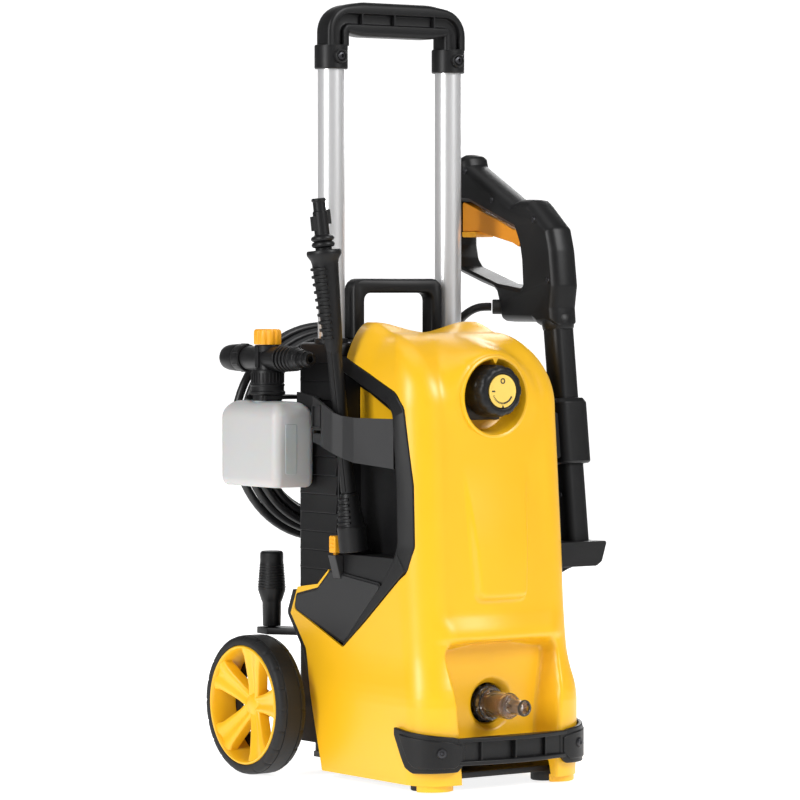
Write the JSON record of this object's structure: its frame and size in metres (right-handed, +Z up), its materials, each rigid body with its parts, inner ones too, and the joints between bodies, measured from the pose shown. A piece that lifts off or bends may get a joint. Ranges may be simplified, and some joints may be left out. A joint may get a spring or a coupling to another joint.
{
  "type": "pressure washer",
  "caption": "Upright wheeled electric pressure washer with telescopic handle, spray gun, lance, foam bottle, selector knob and rear hose coil.",
  "frame": {"origin": "bottom centre of the bounding box, on the ground under the machine", "axes": "+Z up, -Y is the front with the selector knob and water inlet, +X is the side of the spray gun"},
  "size_m": [0.327, 0.374, 0.803],
  "materials": {
    "yellow_gloss": "glossy",
    "black_matte": "fine moulded texture",
    "grey_satin": "satin",
    "milky": "translucent",
    "aluminium_tube": "brushed",
    "steel": "plain",
    "tyre_rubber": "matte",
    "rubber_black": "matte",
    "smoky_clear": "transparent",
    "copper_screen": "mesh",
    "brass": "machined",
    "yellow_satin": "satin",
    "motor_steel": "painted",
    "copper": "wound",
    "pump_alu": "cast",
    "hose_rubber": "satin"
  },
  "bodies": {
    "root": {"front_cover": "yellow_gloss", "rear_cover": "black_matte", "left_trim_frame": "black_matte", "right_trim_frame": "black_matte", "left_pocket": "grey_satin", "right_pocket": "grey_satin", "left_holder_band": "grey_satin", "gun_collar_holder": "black_matte", "gun_rest_cup": "black_matte", "front_bumper_handle": "black_matte", "carry_handle": "black_matte", "tube_guides": "black_matte", "base_chassis": "black_matte", "front_feet": "rubber_black", "axle": "steel", "axle_washers": "steel", "motor_stator": "motor_steel", "pump_head": "pump_alu", "pump_pistons": "steel", "switch_box": "black_matte", "capacitor": "black_matte", "water_pipes": "pump_alu", "outlet_connector": "brass", "inlet_filter_housing": "smoky_clear", "inlet_filter_screen": "copper_screen", "inlet_o_ring": "rubber_black", "hose_hook": "black_matte", "nozzle_holder": "black_matte", "housing_screws": "steel", "cord_gland": "rubber_black", "gun_body": "black_matte", "gun_screws": "steel", "gun_barrel": "black_matte", "gun_hose_inlet": "brass", "hose_coil": "hose_rubber", "hose_lead_gun": "hose_rubber", "hose_lead_pump": "hose_rubber"},
    "handle": {"handle_tubes": "aluminium_tube", "handle_grip": "black_matte", "handle_screws": "steel"},
    "wheel_left": {"left_rim": "yellow_gloss", "left_tyre": "tyre_rubber"},
    "wheel_right": {"right_rim": "yellow_gloss", "right_tyre": "tyre_rubber"},
    "knob": {"selector_knob": "black_matte", "knob_dial_disc": "yellow_gloss"},
    "rotor": {"motor_rotor": "copper", "cooling_fan": "black_matte", "pump_wobble_plate": "steel"},
    "trigger": {"trigger": "yellow_satin"},
    "trigger_lock": {"trigger_lock": "yellow_gloss"},
    "lance": {"spray_lance": "black_matte"},
    "lance_tip": {"lance_nozzle": "black_matte"},
    "foam_gun": {"foam_bottle": "milky", "foam_head": "black_matte"},
    "foam_dial": {"foam_dial": "yellow_gloss"},
    "foam_nozzle": {"foam_fan_nozzle": "black_matte"},
    "turbo": {"turbo_nozzle": "black_matte"},
    "latch": {"latch_button": "yellow_gloss"},
    "inlet_union": {"inlet_collar": "black_matte"}
  },
  "joints": [
    {"name": "handle_slide", "type": "slide", "parent": "root", "child": "handle", "axis": [0, 0, -1], "range_m": [0, 0.24]},
    {"name": "wheel_left_spin", "type": "hinge", "parent": "root", "child": "wheel_left", "pos_m": [-0.1465, 0.0965, 0.0725], "axis": [1, 0, 0], "continuous": true},
    {"name": "wheel_right_spin", "type": "hinge", "parent": "root", "child": "wheel_right", "pos_m": [0.1295, 0.0965, 0.0725], "axis": [1, 0, 0], "continuous": true},
    {"name": "knob_turn", "type": "hinge", "parent": "root", "child": "knob", "pos_m": [-0.0085, -0.1605, 0.402], "axis": [0, 1, 0], "range_deg": [0, 90]},
    {"name": "rotor_spin", "type": "hinge", "parent": "root", "child": "rotor", "pos_m": [-0.0085, 0.0445, 0.27], "axis": [0, 0, 1], "continuous": true},
    {"name": "trigger_squeeze", "type": "hinge", "parent": "root", "child": "trigger", "pos_m": [0.1415, 0.003, 0.5625], "axis": [1, 0, 0], "range_deg": [0, 10], "stiffness_Nm_per_rad": 1.5, "springref_deg": -5.73},
    {"name": "trigger_lock_slide", "type": "slide", "parent": "trigger", "child": "trigger_lock", "axis": [-1, 0, 0], "range_m": [0, 0.004]},
    {"name": "lance_lift", "type": "slide", "parent": "root", "child": "lance", "axis": [-0.0911, 0.0453, 0.9948], "range_m": [0, 0.1]},
    {"name": "lance_tip_turn", "type": "hinge", "parent": "lance", "child": "lance_tip", "pos_m": [-0.1035, -0.0222, 0.2366], "axis": [-0.0911, 0.0453, 0.9948], "range_deg": [0, 90]},
    {"name": "foam_gun_slide_out", "type": "slide", "parent": "root", "child": "foam_gun", "axis": [-1, 0, 0], "range_m": [0, 0.06]},
    {"name": "foam_dial_turn", "type": "hinge", "parent": "foam_gun", "child": "foam_dial", "pos_m": [-0.1325, 0.0945, 0.45], "axis": [0, 0, 1], "range_deg": [0, 270]},
    {"name": "foam_nozzle_turn", "type": "hinge", "parent": "foam_gun", "child": "foam_nozzle", "pos_m": [-0.1325, 0.1485, 0.433], "axis": [0, 1, 0], "range_deg": [0, 90]},
    {"name": "turbo_lift", "type": "slide", "parent": "root", "child": "turbo", "axis": [0, 0, 1], "range_m": [0, 0.04]},
    {"name": "latch_press", "type": "slide", "parent": "root", "child": "latch", "axis": [0, 0, -1], "range_m": [0, 0.002], "stiffness_N_per_m": 2000, "springref_m": -0.001},
    {"name": "inlet_union_turn", "type": "hinge", "parent": "root", "child": "inlet_union", "pos_m": [-0.0085, -0.1605, 0.084], "axis": [0, 1, 0], "range_deg": [0, 540]}
  ]
}
